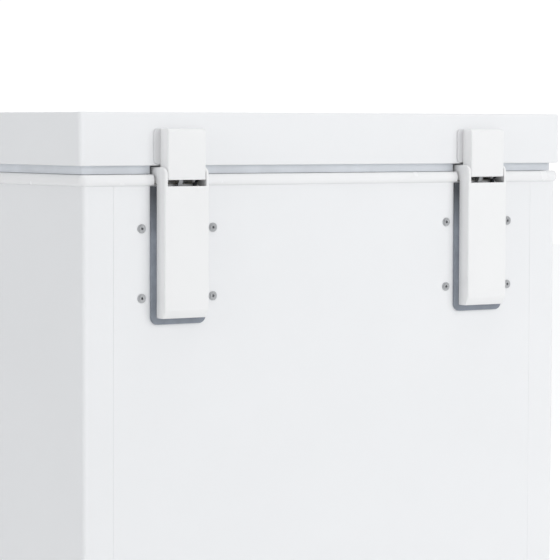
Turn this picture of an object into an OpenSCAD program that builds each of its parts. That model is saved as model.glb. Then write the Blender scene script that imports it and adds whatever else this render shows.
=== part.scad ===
// Chest freezer with a rear-hinged lid, built as separate pieces.
// Millimetres. X runs along the width, the front faces -Y, Z is up, and the feet stand on Z = 0.

/* [Cabinet] */
// Width of the steel cabinet
body_w = 620; // [600:1:640]
// Depth of the steel cabinet
body_d = 525; // [515:1:540]
// Height of the whole freezer
total_h = 850; // [845:1:860]
// Thickness of the insulated walls
wall = 55; // [52:1:58]
// Thickness of the steel sheet
sheet = 0.8; // [0.6:0.1:1]

/* [Lid] */
// Height of the lid
lid_h = 55; // [50:1:60]
// Overhang of the lid at each side
lid_over = 5; // [4:0.5:6]
// Gap between lid and trim, filled by the gasket
gap = 9; // [8.5:0.5:10]
// Distance from the lid edge to the gasket
gasket_inset = 18; // [16:1:20]

/* [Hinges] */
// Distance of each hinge from the middle
hinge_x = 197.2; // [185:0.2:203]
// Width of the cover on the cabinet
low_cover_w = 53.6; // [53.2:0.2:54]
// Distance of the rivets from the hinge centre line
rivet_x = 43.4; // [42:0.2:46]

/* [Basket] */
// Length of the basket along the width of the freezer
basket_w = 226; // [200:2:226]
// Depth of the basket below its rim
basket_h = 185; // [150:5:200]

/* [Hidden] */
$fn = 48;

// Stack of heights
foot_h = 20;
pan_t = 1;
shell_top = 776;
trim_top = total_h - lid_h - gap;
trim_bottom = trim_top - 12;
lid_z = total_h - lid_h;

// Front and rear planes
hinge_t = 19;
handle_d = 26;
lid_front = 3;
lid_rear = 1.5;
total_d = body_d + hinge_t + handle_d + lid_front;
rear_y = total_d / 2 - hinge_t;
front_y = rear_y - body_d;
mid_y = (rear_y + front_y) / 2;
lid_fy = front_y - lid_front;
lid_ry = rear_y + lid_rear;
lid_my = (lid_fy + lid_ry) / 2;
lid_w = body_w + 2 * lid_over;
lid_d = lid_ry - lid_fy;

// Inner tub
liner_t = 1;
tub_w = body_w - 2 * wall;
tub_d = body_d - 2 * wall;
ledge = 10;
ledge_z = 757;
floor_z = 72;
step_x = 90;
step_z = 272;
tub_r = 20;
trim_out = 3.5;

// Compressor bay at the right-hand end
bay_x = 150;
bay_z = 226;
comp = [231, mid_y + 110, 0];

// Openings in the outer sheets, each as [low, low, high, high]
grille_yz = [-60, 52, 180, 192];
service_xz = [166, 44, 266, 204];
control_xz = [182, 92, 288, 148];

// Hinge, measured from the rear panel and from the floor
pivot_y = 9.5;
pivot_z = trim_top - 1;
lever_r = 7;
lever_a = 40;
cheek_x = 18;
arm_x = 15;
lid_cover_w = 46;
spring_y = 10;
spring_z0 = 658;
spring_z1 = 739;

// Drain
drain = [-80, mid_y - 120, 46];

// Lock and knob
lock_z = 775;
knob = [258, 120];

// ---------- helpers ----------

// A box between two corners
module slab(a, b) {
  translate(a)
    cube(b - a);
}

// A flat rectangle with round corners, centred
module rrect(w, d, r) {
  square([w - 2 * r, d], center = true);
  square([w, d - 2 * r], center = true);
  for (sx = [-1, 1])
    for (sy = [-1, 1])
      translate([sx * (w / 2 - r), sy * (d / 2 - r)])
        circle(r = r);
}

// The same rectangle as a block on the cabinet's centre
module rblock(w, d, r, z0, z1, y = mid_y) {
  translate([0, y, z0])
    linear_extrude(z1 - z0)
      rrect(w, d, r);
}

// A rod between two heights, and rods along X and Y
module rod_z(x, y, z0, z1, r) {
  translate([x, y, z0])
    cylinder(r = r, h = z1 - z0);
}

module rod_x(x0, x1, y, z, r) {
  translate([x0, y, z])
    rotate([0, 90, 0])
      cylinder(r = r, h = x1 - x0);
}

module rod_y(x, y0, y1, z, r) {
  translate([x, y1, z])
    rotate([90, 0, 0])
      cylinder(r = r, h = y1 - y0);
}

// A shape drawn in the Y-Z plane, given thickness along X
module side_plate(x0, x1) {
  translate([x0, 0, 0])
    rotate([90, 0, 90])
      linear_extrude(x1 - x0)
        children();
}

// Both hinges, each on its own centre line and on the rear panel
module at_hinge(s) {
  translate([s * hinge_x, rear_y, 0])
    children();
}

module both_hinges() {
  for (s = [-1, 1])
    at_hinge(s)
      children();
}

// A quarter bend of tube, with its centre at the origin
module bend(r, t, angle) {
  rotate_extrude(angle = angle)
    translate([r, 0])
      circle(r = t, $fn = 24);
}

// ---------- outer shell ----------

corner_r = 4;
front_return = 20;
rear_flange = 36;
seam = 0.15;

module shell_ring(z0, z1) {
  difference() {
    rblock(body_w, body_d, corner_r, z0, z1);
    rblock(body_w - 2 * sheet, body_d - 2 * sheet, corner_r - sheet, z0 - 1, z1 + 1);
  }
}

// Hemmed lower edge that turns in under the base pan
module front_panel() color("white") {
  difference() {
    intersection() {
      shell_ring(foot_h, shell_top);
      slab([-body_w, front_y - 1, 0], [body_w, front_y + front_return, total_h]);
    }
    slab([control_xz[0], front_y - 1, control_xz[1]], [control_xz[2], front_y + 2, control_xz[3]]);
    rod_y(drain[0], front_y - 1, front_y + 2, drain[2], 12.2);
  }
}

module side_sheet(s) {
  intersection() {
    shell_ring(foot_h, shell_top);
    union() {
      slab([s > 0 ? body_w / 2 - corner_r : -body_w, front_y + front_return + seam, 0],
        [s > 0 ? body_w : -body_w / 2 + corner_r, rear_y + 1, total_h]);
      slab([s > 0 ? body_w / 2 - rear_flange : -body_w / 2, rear_y - corner_r, 0],
        [s > 0 ? body_w / 2 : -body_w / 2 + rear_flange, rear_y + 1, total_h]);
    }
  }
}

module side_panel_left() color("white") {
  side_sheet(-1);
}

module side_panel_right() color("white") {
  difference() {
    side_sheet(1);
    slab([body_w / 2 - 2, grille_yz[0], grille_yz[1]], [body_w / 2 + 1, grille_yz[2], grille_yz[3]]);
  }
}

module rear_panel() color("whitesmoke") {
  x1 = body_w / 2 - rear_flange - seam;
  difference() {
    slab([-x1, rear_y - sheet, foot_h], [x1, rear_y, shell_top]);
    slab([service_xz[0], rear_y - 2, service_xz[1]], [service_xz[2], rear_y + 1, service_xz[3]]);
    both_hinges()
      for (p = concat(rivet_points, screw_points))
        rod_y(p[0], -2, 1, p[1], 2.1);
  }
}

module base_pan() color("silver") {
  difference() {
    rblock(body_w - 2 * sheet, body_d - 2 * sheet, corner_r, foot_h, foot_h + pan_t);
    for (p = foot_points)
      rod_z(p[0], p[1], 0, 30, 2.6);
    for (p = mount_points)
      rod_z(p[0], p[1], 0, 30, 3.2);
    for (i = [0 : 4])
      slab([bay_x + 30, mid_y - 190 + i * 24, 0], [bay_x + 130, mid_y - 180 + i * 24, 30]);
  }
}

// ---------- insulation and tub ----------

// Hollow of the tub, grown outward by g
module tub_space(g, top) {
  w = tub_w + 2 * g;
  d = tub_d + 2 * g;
  rblock(w, d, tub_r + g, step_z - g, top);
  rblock(w, d + 2 * ledge, tub_r + g, ledge_z - g, top);
  intersection() {
    rblock(w, d, tub_r + g, floor_z - g, step_z + 1);
    slab([-body_w, front_y, 0], [step_x + g, rear_y, total_h]);
  }
}

module foam_tub() color("khaki") {
  difference() {
    rblock(body_w - 2 * sheet, body_d - 2 * sheet, corner_r, foot_h + pan_t, shell_top);
    tub_space(liner_t, total_h);
    slab([bay_x - 1, front_y, 0], [body_w, rear_y, bay_z + 1]);
    coil_loops(3.8);
    condenser_path(2.7);
    both_hinges()
      slab([-54.3, -sheet - 2.3, 643.7], [54.3, 1, 746.3]);
    drain_run(12.2);
    rod_y(drain[0], front_y, front_y + 6, drain[2], 15.2);
    for (p = foot_points)
      rod_z(p[0], p[1], foot_h, foot_h + 14, 3);
    both_hinges()
      for (p = concat(rivet_points, screw_points))
        rod_y(p[0], -12, 1, p[1], 4.5);
  }
}

module inner_liner() color("gainsboro") {
  difference() {
    tub_space(liner_t, shell_top);
    tub_space(0, total_h);
    rod_z(drain[0], drain[1], floor_z - 2, floor_z + 2, 13.2);
  }
}

notch_x = 30;
notch_y = 17;

// Rounded rim strip that caps the walls, cut away where the hinges stand
module rim_trim() color("white") {
  difference() {
    union() {
      rblock(body_w + 2 * trim_out, body_d + 2 * trim_out, corner_r + trim_out, trim_bottom + 3, trim_top - 3);
      rblock(body_w + 2 * trim_out - 1.6, body_d + 2 * trim_out - 1.6, corner_r + trim_out - 0.8,
        trim_bottom + 1, trim_top - 1);
      rblock(body_w + 2 * trim_out - 4.4, body_d + 2 * trim_out - 4.4, corner_r + trim_out - 2.2,
        trim_bottom, trim_top);
    }
    rblock(body_w, body_d, corner_r, trim_bottom - 1, shell_top);
    rblock(tub_w - 4, tub_d + 2 * ledge - 4, tub_r, 0, total_h);
    both_hinges()
      slab([-notch_x, -notch_y, 0], [notch_x, notch_y, total_h]);
  }
}

module bay_panel() color("silver") {
  slab([bay_x - 1, front_y + sheet, foot_h + pan_t], [bay_x, rear_y - sheet, bay_z]);
  intersection() {
    slab([bay_x - 1, front_y + sheet, bay_z], [body_w / 2 - sheet, rear_y - sheet, bay_z + 1]);
    rblock(body_w - 2 * sheet, body_d - 2 * sheet, corner_r, bay_z - 1, bay_z + 2);
  }
}

// ---------- cooling circuit ----------

coil_r = 3.5;
coil_x = tub_w / 2 + liner_t + 3.9;
coil_y = tub_d / 2 + liner_t + 3.9;
coil_bend = 24;
coil_z = [320, 400, 480, 560, 640, 720];

// Rings of tube around the tub, joined by a riser
module coil_loops(t) {
  for (z = coil_z) {
    for (s = [-1, 1]) {
      rod_x(-coil_x + coil_bend, coil_x - coil_bend, mid_y + s * coil_y, z, t);
      rod_y(s * coil_x, mid_y - coil_y + coil_bend, mid_y + coil_y - coil_bend, z, t);
    }
    for (q = [0 : 3])
      translate([(q == 0 || q == 3 ? 1 : -1) * (coil_x - coil_bend),
          mid_y + (q < 2 ? 1 : -1) * (coil_y - coil_bend), z])
        rotate([0, 0, q * 90])
          bend(coil_bend, t, 90);
  }
  rod_z(0, mid_y + coil_y, coil_z[0], coil_z[5], t);
}

module evaporator_coil() color("silver") {
  coil_loops(coil_r);
}

cond_r = 2.4;
cond_x = body_w / 2 - sheet - 3;
cond_pitch = 50;
cond_z = 180;
cond_len = 190;

// Tube that runs back and forth behind the left side panel
module condenser_path(t) {
  for (i = [0 : 9])
    rod_y(-cond_x, mid_y - cond_len, mid_y + cond_len, cond_z + i * cond_pitch, t);
  for (i = [0 : 8])
    translate([-cond_x, mid_y + (i % 2 == 0 ? 1 : -1) * cond_len, cond_z + (i + 0.5) * cond_pitch])
      rotate([0, 90, 0])
        rotate([0, 0, i % 2 == 0 ? 0 : 180])
          bend(cond_pitch / 2, t, 180);
}

module condenser_coil() color("peru") {
  condenser_path(cond_r);
}

mount_points = [for (sx = [-1, 1]) for (sy = [-1, 1]) [comp[0] + sx * 54, comp[1] + sy * 72]];

module compressor() color("dimgray") {
  difference() {
    union() {
      translate([comp[0], comp[1], 40])
        rotate_extrude() {
          polygon([[0, 0], [48, 0], [60, 8], [62, 20], [62, 66], [0, 66]]);
          polygon([[0, 66], [66, 66], [66, 72], [0, 72]]);
          polygon([[0, 72], [61, 72], [60, 96], [54, 112], [42, 122], [22, 128], [0, 129]]);
        }
      slab([comp[0] - 6, comp[1] + 60, 88], [comp[0] + 6, comp[1] + 70, 104]);
      rod_y(comp[0] + 30, comp[1] - 66, comp[1] - 45, 70, 4.2);
      rod_y(comp[0] - 30, comp[1] - 66, comp[1] - 45, 84, 5.2);
      rod_x(comp[0] + 55, comp[0] + 66, comp[1] - 8, 90, 4.2);
    }
    rod_y(comp[0] + 30, comp[1] - 70, comp[1] - 60, 70, 3.06);
    rod_y(comp[0] - 30, comp[1] - 70, comp[1] - 60, 84, 4.06);
    rod_x(comp[0] + 63.5, comp[0] + 70, comp[1] - 8, 90, 3.06);
  }
}

module compressor_mount() color("dimgray") {
  difference() {
    union() {
      slab([comp[0] - 66, comp[1] - 84, 37.5], [comp[0] + 66, comp[1] + 84, 40]);
      for (sy = [-1, 1])
        slab([comp[0] - 66, comp[1] + sy * 84 - 1, 33], [comp[0] + 66, comp[1] + sy * 84 + 1, 40]);
    }
    for (p = mount_points)
      rod_z(p[0], p[1], 30, 50, 6.1);
  }
}

module mount_grommets() color("black") {
  for (p = mount_points)
    difference() {
      union() {
        rod_z(p[0], p[1], foot_h + pan_t, 37.3, 11);
        rod_z(p[0], p[1], 37.3, 40.2, 6);
        rod_z(p[0], p[1], 40.2, 44, 10);
      }
      rod_z(p[0], p[1], 0, 50, 3.1);
    }
}

module mount_bolts() color("silver") {
  for (p = mount_points) {
    rod_z(p[0], p[1], 16, 46, 3);
    rod_z(p[0], p[1], 44.1, 46, 8);
    translate([p[0], p[1], 46])
      cylinder(r = 5.5, h = 5, $fn = 6);
    translate([p[0], p[1], 15.5])
      cylinder(r = 5.5, h = 4.4, $fn = 6);
  }
}

module relay_cover() color("black") {
  slab([comp[0] - 26, comp[1] + 70.3, 66], [comp[0] + 26, comp[1] + 104, 124]);
  slab([comp[0] - 22, comp[1] + 104, 70], [comp[0] + 22, comp[1] + 107, 120]);
}

drier = [bay_x + 24, mid_y - 40];

module filter_drier() color("peru") {
  translate([drier[0], drier[1], 90])
    rotate_extrude()
      polygon([[0, 0], [3, 0], [3, 12], [10, 24], [10, 86], [3, 98], [3, 110], [0, 110]]);
}

// Discharge, suction and filling tubes between compressor and walls
module refrigerant_pipes() color("peru") {
  rod_y(comp[0] + 30, comp[1] - 130, comp[1] - 60.5, 70, 3);
  translate([comp[0], comp[1] - 130, 70])
    bend(30, 3, -90);
  rod_x(drier[0] + 6, comp[0], comp[1] - 160, 70, 3);
  rod_y(comp[0] - 30, comp[1] - 104, comp[1] - 60.5, 84, 4);
  rod_x(bay_x + 0.3, comp[0] - 26, comp[1] - 104, 84, 4);
  rod_x(comp[0] + 64, comp[0] + 74, comp[1] - 8, 90, 3);
  rod_z(comp[0] + 72, comp[1] - 8, 87, 130, 3);
}

// ---------- covers, controls, drain ----------

module louvres(n, pitch, len, z0) {
  for (i = [0 : n - 1])
    slab([-len / 2, -6, z0 + i * pitch], [len / 2, 6, z0 + i * pitch + 6]);
}

module side_grille() color("lightgray") {
  y0 = grille_yz[0];
  y1 = grille_yz[2];
  z0 = grille_yz[1];
  z1 = grille_yz[3];
  x = body_w / 2;
  difference() {
    union() {
      slab([x, y0 - 10, z0 - 10], [x + 2, y1 + 10, z1 + 10]);
      slab([x - 5, y0 + 0.5, z0 + 0.5], [x, y1 - 0.5, z1 - 0.5]);
    }
    slab([x - 6, y0 + 3, z0 + 3], [x - 0.5, y1 - 3, z1 - 3]);
    translate([x, (y0 + y1) / 2, z0])
      rotate([0, 0, 90])
        louvres(9, 14, y1 - y0 - 24, 12);
    for (p = grille_screws)
      rod_x(x - 1, x + 3, p[0], p[1], 1.7);
  }
}

module service_cover() color("lightgray") {
  x0 = service_xz[0];
  x1 = service_xz[2];
  z0 = service_xz[1];
  z1 = service_xz[3];
  difference() {
    union() {
      slab([x0 - 8, rear_y, z0 - 10], [x1 + 6, rear_y + 2, z1 + 10]);
      slab([x0 + 0.5, rear_y - 5, z0 + 0.5], [x1 - 0.5, rear_y, z1 - 0.5]);
    }
    slab([x0 + 3, rear_y - 6, z0 + 3], [x1 - 3, rear_y - 0.5, z1 - 3]);
    translate([(x0 + x1) / 2, rear_y, z0 + 44])
      louvres(8, 13, x1 - x0 - 20, 6);
    rod_y(inlet[0], rear_y - 6, rear_y + 6, inlet[1], 9.1);
    for (p = service_screws)
      rod_y(p[0], rear_y - 1, rear_y + 3, p[1], 1.7);
  }
}

grille_screws = [for (y = [grille_yz[0] - 5, grille_yz[2] + 5]) for (z = [60, 184]) [y, z]];
service_screws = [for (x = [service_xz[0] - 3.5, service_xz[2] + 2.5]) for (z = [50, 198]) [x, z]];

module cover_screws() color("silver") {
  for (p = grille_screws) {
    rod_x(body_w / 2 + 2, body_w / 2 + 3.8, p[0], p[1], 3.2);
    rod_x(body_w / 2 + 0.1, body_w / 2 + 2, p[0], p[1], 1.6);
  }
  for (p = service_screws) {
    rod_y(p[0], rear_y + 2, rear_y + 3.8, p[1], 3.2);
    rod_y(p[0], rear_y + 0.1, rear_y + 2, p[1], 1.6);
  }
}

inlet = [(service_xz[0] + service_xz[2]) / 2, 64];

// Bush for the mains lead, with its bore open
module cord_inlet() color("black") {
  difference() {
    union() {
      rod_y(inlet[0], rear_y - 4, rear_y + 2, inlet[1], 9);
      rod_y(inlet[0], rear_y + 2, rear_y + 6, inlet[1], 12);
    }
    rod_y(inlet[0], rear_y - 10, rear_y + 10, inlet[1], 4);
  }
}

module control_panel() color("white") {
  x0 = control_xz[0];
  x1 = control_xz[2];
  z0 = control_xz[1];
  z1 = control_xz[3];
  difference() {
    union() {
      slab([x0 - 6, front_y - 3, z0 - 6], [x1 + 6, front_y, z1 + 6]);
      slab([x0 + 0.4, front_y, z0 + 0.4], [x1 - 0.4, front_y + 8, z1 - 0.4]);
    }
    slab([x0 + 3, front_y + 1, z0 + 3], [x1 - 3, front_y + 9, z1 - 3]);
    rod_y(knob[0], front_y - 5, front_y + 5, knob[1], 4.2);
    for (z = lamp_z)
      rod_y(lamp_x, front_y - 5, front_y + 5, z, 3.05);
  }
}

lamp_x = 200;
lamp_z = [110, 130];

module lamp(z) {
  rod_y(lamp_x, front_y - 3.6, front_y + 10, z, 3);
}

module power_lamp() color("limegreen") {
  lamp(lamp_z[1]);
}

module run_lamp() color("red") {
  lamp(lamp_z[0]);
}

module thermostat() color("dimgray") {
  difference() {
    slab([knob[0] - 24, front_y + 10, knob[1] - 20], [knob[0] + 24, front_y + 44, knob[1] + 20]);
    rod_y(knob[0], front_y, front_y + 20, knob[1], 3.05);
  }
  difference() {
    rod_y(knob[0], front_y + 1.5, front_y + 10, knob[1], 6);
    rod_y(knob[0], front_y, front_y + 20, knob[1], 3.05);
  }
}

module thermostat_knob() color("lightgray") {
  difference() {
    union() {
      rod_y(knob[0], front_y - 7, front_y - 3.4, knob[1], 19);
      rod_y(knob[0], front_y - 17, front_y - 7, knob[1], 16);
    }
    slab([knob[0] - 1, front_y - 18, knob[1] + 4], [knob[0] + 1, front_y - 16, knob[1] + 17]);
    for (a = [0 : 30 : 330])
      translate([knob[0], front_y - 12, knob[1]])
        rotate([0, a + 15, 0])
          translate([17, 0, 0])
            rotate([90, 0, 0])
              cylinder(r = 2, h = 12, center = true);
  }
  rod_y(knob[0], front_y - 4, front_y + 19, knob[1], 3);
}

// Floor outlet that turns forward to the front panel
module drain_run(t) {
  rod_z(drain[0], drain[1], drain[2], floor_z, t);
  rod_y(drain[0], front_y - 0.5, drain[1], drain[2], t);
  translate([drain[0], drain[1], drain[2]])
    sphere(r = t);
}

module drain_pipe() color("white") {
  difference() {
    union() {
      drain_run(12);
      rod_z(drain[0], drain[1], floor_z, floor_z + 1, 16);
      rod_y(drain[0], front_y - 2.5, front_y, drain[2], 17);
    }
    drain_run(9.5);
    rod_z(drain[0], drain[1], drain[2], floor_z + 2, 9.5);
    rod_y(drain[0], front_y - 5, drain[1], drain[2], 9.5);
  }
}

module drain_plug() color("gray") {
  rod_z(drain[0], drain[1], floor_z - 8, floor_z + 1.2, 9.2);
  rod_z(drain[0], drain[1], floor_z + 1.2, floor_z + 4, 14);
  slab([drain[0] - 7, drain[1] - 1.5, floor_z + 4], [drain[0] + 7, drain[1] + 1.5, floor_z + 13]);
}

module drain_cap() color("white") {
  rod_y(drain[0], front_y - 2.8, front_y + 12, drain[2], 9.2);
  rod_y(drain[0], front_y - 6, front_y - 2.8, drain[2], 15);
  slab([drain[0] - 11, front_y - 14, drain[2] - 2], [drain[0] + 11, front_y - 6, drain[2] + 2]);
}

foot_points = [for (sx = [-1, 1]) for (sy = [-1, 1]) [sx * 268, mid_y + sy * 222]];

module feet() color("black") {
  for (p = foot_points)
    translate([p[0], p[1], 0])
      difference() {
        rotate_extrude()
          polygon([[0, 0], [17, 0], [20, 3], [22, foot_h], [0, foot_h]]);
        cylinder(r = 5.5, h = 10, center = true);
        cylinder(r = 2.6, h = 60, center = true);
      }
}

module foot_screws() color("silver") {
  for (p = foot_points) {
    rod_z(p[0], p[1], 5, foot_h + 12, 2.5);
    rod_z(p[0], p[1], 2.5, 5, 5);
  }
}

// ---------- fixed half of each hinge ----------

base_w = 66.4;
base_top = trim_bottom - 0.3;
base_bottom = 631.4;
base_t = 2.5;
neck_y = pivot_y - 3.8;
rivet_points = [for (sx = [-1, 1]) for (z = [659, 730.5]) [sx * rivet_x, z]];
screw_points = [for (sx = [-1, 1]) for (z = [684, 732]) [sx * 12.5, z]];

// Plate with two cheeks that carry the pin, narrow at the neck where the lid's cover swings past
module hinge_base() {
  difference() {
    union() {
      translate([0, base_t, (base_top + base_bottom) / 2])
        rotate([90, 0, 0])
          linear_extrude(base_t) {
            rrect(base_w, base_top - base_bottom, 8);
            translate([0, (base_top - base_bottom) / 4])
              square([base_w, (base_top - base_bottom) / 2], center = true);
          }
      for (s = [-1, 1])
        translate([s * (cheek_x + 1), 0, 0])
          side_plate(-1, 1) {
            polygon([[1, 652], [15, 659], [15, 750], [neck_y, 768], [neck_y, pivot_z],
              [pivot_y - 5, pivot_z], [1.2, 777], [1, 752]]);
            polygon([[neck_y, 777.8], [pivot_y + 3, pivot_z - 4], [pivot_y, pivot_z],
              [pivot_y - 5, pivot_z]]);
            translate([pivot_y, pivot_z])
              circle(r = 5);
          }
      slab([-cheek_x, 1, spring_z0 - 4], [cheek_x, 15, spring_z0 - 1]);
    }
    rod_x(-30, 30, pivot_y, pivot_z, 2.05);
    for (p = screw_points)
      rod_y(p[0], -1, 5, p[1], 2.1);
  }
}

module hinge_base_left() color("slategray") {
  at_hinge(-1)
    hinge_base();
}

module hinge_base_right() color("slategray") {
  at_hinge(1)
    hinge_base();
}

cover_back = 2.7;
cover_t = 2;
low_z0 = 638;
low_z1 = trim_bottom;
ear_t = 3.3;
ear_z = lid_z - 1.4;
ear_back = 15.5;
ear_r = 8;

// Hollow cover with an ear at each side that reaches into the gap beside the lid
module lower_cover() {
  hw = low_cover_w / 2;
  difference() {
    side_plate(-hw, hw)
      polygon([[cover_back, low_z0], [hinge_t - 5, low_z0], [hinge_t, low_z0 + 8.5], [hinge_t, low_z1],
        [cover_back, low_z1]]);
    side_plate(-hw + cover_t, hw - cover_t)
      polygon([[0, low_z0 + cover_t], [hinge_t - 6, low_z0 + cover_t],
        [hinge_t - cover_t, low_z0 + 9], [hinge_t - cover_t, low_z1 + 1], [0, low_z1 + 1]]);
  }
  for (s = [-1, 1])
    translate([s * (hw - ear_t / 2), 0, 0])
      side_plate(-ear_t / 2, ear_t / 2) {
        polygon([[cover_back, low_z1 - 8], [hinge_t, low_z1 - 8], [hinge_t, ear_z - ear_r],
          [cover_back, ear_z - ear_r]]);
        polygon([[-ear_back, shell_top + 0.5], [cover_back, shell_top + 0.5], [hinge_t, ear_z - ear_r],
          [hinge_t - ear_r, ear_z], [-ear_back + 3, ear_z], [-ear_back, ear_z - 3]]);
        translate([hinge_t - ear_r, ear_z - ear_r])
          circle(r = ear_r);
      }
}

module lower_cover_left() color("white") {
  at_hinge(-1)
    lower_cover();
}

module lower_cover_right() color("white") {
  at_hinge(1)
    lower_cover();
}

module backing_plates() color("silver") {
  both_hinges()
    difference() {
      slab([-54, -sheet - 2, 644], [54, -sheet, 746]);
      for (p = rivet_points)
        rod_y(p[0], -5, 1, p[1], 2.1);
      for (p = screw_points)
        rod_y(p[0], -5, 1, p[1], 2.1);
    }
}

// Blind rivets with a hollow centre
module panel_rivets() color("lightgray") {
  both_hinges()
    for (p = rivet_points)
      difference() {
        union() {
          rod_y(p[0], 0, 0.8, p[1], 4.8);
          rod_y(p[0], 0.8, 1.4, p[1], 3.4);
          rod_y(p[0], -sheet - 2, 0, p[1], 2);
          rod_y(p[0], -sheet - 5, -sheet - 2, p[1], 3);
        }
        rod_y(p[0], -2, 3, p[1], 1.4);
      }
}

module base_screws() color("silver") {
  both_hinges()
    for (p = screw_points) {
      rod_y(p[0], base_t, base_t + 1.8, p[1], 3.6);
      rod_y(p[0], -10, base_t, p[1], 2);
    }
}

module hinge_pins() color("lightgray") {
  both_hinges()
    rod_x(-20.3, 20.3, pivot_y, pivot_z, 2);
}

// ---------- counterbalance ----------

lever_y = pivot_y - lever_r * cos(lever_a);
lever_z = pivot_z - lever_r * sin(lever_a);

// Yoke on the lever pin, with a seat that presses on the spring
module spring_rod() {
  difference() {
    union() {
      slab([-2.5, lever_y - 4.9, lever_z - 3.3], [2.5, lever_y + 2.8, lever_z + 3.3]);
      slab([-2.5, 3.2, 742], [2.5, neck_y, lever_z - 3]);
      slab([-2.5, 3.2, 742], [2.5, spring_y + 3, 748]);
    }
    slab([-3, lever_y - 3.5, lever_z - 1.85], [3, lever_y + 1.65, lever_z + 1.85]);
  }
  rod_z(0, spring_y, 740, 743, 5.8);
  rod_z(0, spring_y, 722, 740, 3.2);
}

module spring_rod_left() color("gray") {
  at_hinge(-1)
    spring_rod();
}

module spring_rod_right() color("gray") {
  at_hinge(1)
    spring_rod();
}

wire_r = 0.8;
coil_mean = 4.8;
turns = 14;
steps = 14;
sides = 6;

function spring_point(i, k) = let(
    a = 360 * i / steps,
    b = 360 * k / sides,
    r = coil_mean + wire_r * cos(b)
  ) [r * cos(a), spring_y + r * sin(a),
    spring_z0 + wire_r + (spring_z1 - spring_z0 - 2 * wire_r) * i / (turns * steps) + wire_r * sin(b)];

// Round wire wound into a compression spring
module hinge_spring() {
  n = turns * steps;
  polyhedron(
    points = [for (i = [0 : n]) for (k = [0 : sides - 1]) spring_point(i, k)],
    faces = concat(
      [[for (k = [0 : sides - 1]) k]],
      [for (i = [0 : n - 1]) for (k = [0 : sides - 1])
        [i * sides + k, (i + 1) * sides + k, (i + 1) * sides + (k + 1) % sides, i * sides + (k + 1) % sides]],
      [[for (k = [sides - 1 : -1 : 0]) n * sides + k]]));
}

module hinge_spring_left() color("silver") {
  at_hinge(-1)
    hinge_spring();
}

module hinge_spring_right() color("silver") {
  at_hinge(1)
    hinge_spring();
}

// ---------- lid ----------

pan_flange = 14;
plug_w = tub_w - 30;
plug_d = tub_d - 10;
plug_z = lid_z - 20;
liner_flange = 2;

module lid_pan() color("white") {
  difference() {
    rblock(lid_w, lid_d, corner_r, lid_z, total_h, lid_my);
    rblock(lid_w - 2 * sheet, lid_d - 2 * sheet, corner_r - sheet, lid_z + sheet, total_h - sheet, lid_my);
    rblock(lid_w - 2 * pan_flange, lid_d - 2 * pan_flange, corner_r, lid_z - 1, lid_z + 2, lid_my);
    both_hinges()
      for (p = leaf_points)
        rod_y(p[0], -4, 4, p[1], 2.1);
    for (p = handle_points)
      rod_y(p[0], lid_fy - 1, lid_fy + 3, p[1], 2.1);
  }
}

module lid_foam() color("khaki") {
  difference() {
    union() {
      rblock(lid_w - 2 * sheet, lid_d - 2 * sheet, corner_r, lid_z + liner_flange, total_h - sheet, lid_my);
      rblock(plug_w - 3, plug_d - 3, tub_r, plug_z + 1.5, lid_z + 3);
    }
    both_hinges()
      slab([-26.3, lid_rear - sheet - 2.3, 797.7], [26.3, 4, 834.3]);
    both_hinges()
      for (p = leaf_points)
        rod_y(p[0], -14, 4, p[1], 3);
    for (p = handle_points)
      rod_y(p[0], lid_fy, lid_fy + 14, p[1], 3);
  }
}

module lid_liner() color("gainsboro") {
  difference() {
    union() {
      rblock(lid_w - 2 * pan_flange - 0.6, lid_d - 2 * pan_flange - 0.6, corner_r, lid_z, lid_z + liner_flange,
        lid_my);
      rblock(plug_w, plug_d, tub_r + 1.5, plug_z, lid_z + 1);
    }
    rblock(plug_w - 3, plug_d - 3, tub_r, plug_z + 1.5, total_h);
  }
}

module gasket_ring(inset, w, z0, z1) {
  difference() {
    rblock(lid_w - 2 * inset, lid_d - 2 * inset, corner_r, z0, z1, lid_my);
    rblock(lid_w - 2 * inset - 2 * w, lid_d - 2 * inset - 2 * w, corner_r, z0 - 1, z1 + 1, lid_my);
  }
}

lip_inset = 7;

// Magnetic strip with an outer sealing lip, which stops short of the hinge ears
module lid_gasket() color("lightgray") {
  gasket_ring(gasket_inset, 17, lid_z - 3, lid_z);
  gasket_ring(gasket_inset + 1.5, 13, trim_top + 0.4, lid_z - 2.9);
  difference() {
    union() {
      gasket_ring(lip_inset, gasket_inset - lip_inset + 0.5, lid_z - 1.2, lid_z);
      gasket_ring(lip_inset, 2.2, trim_top + 0.4, lid_z - 0.5);
    }
    both_hinges()
      slab([-30, -ear_back - 1, 0], [30, 10, total_h]);
  }
}

handle_w = 170;
handle_z0 = lid_z + 3;
handle_z1 = lid_z + 31;
grip_t = 5;
handle_points = [for (x = [-60, 60]) [x, lid_z + 27.5]];

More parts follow.
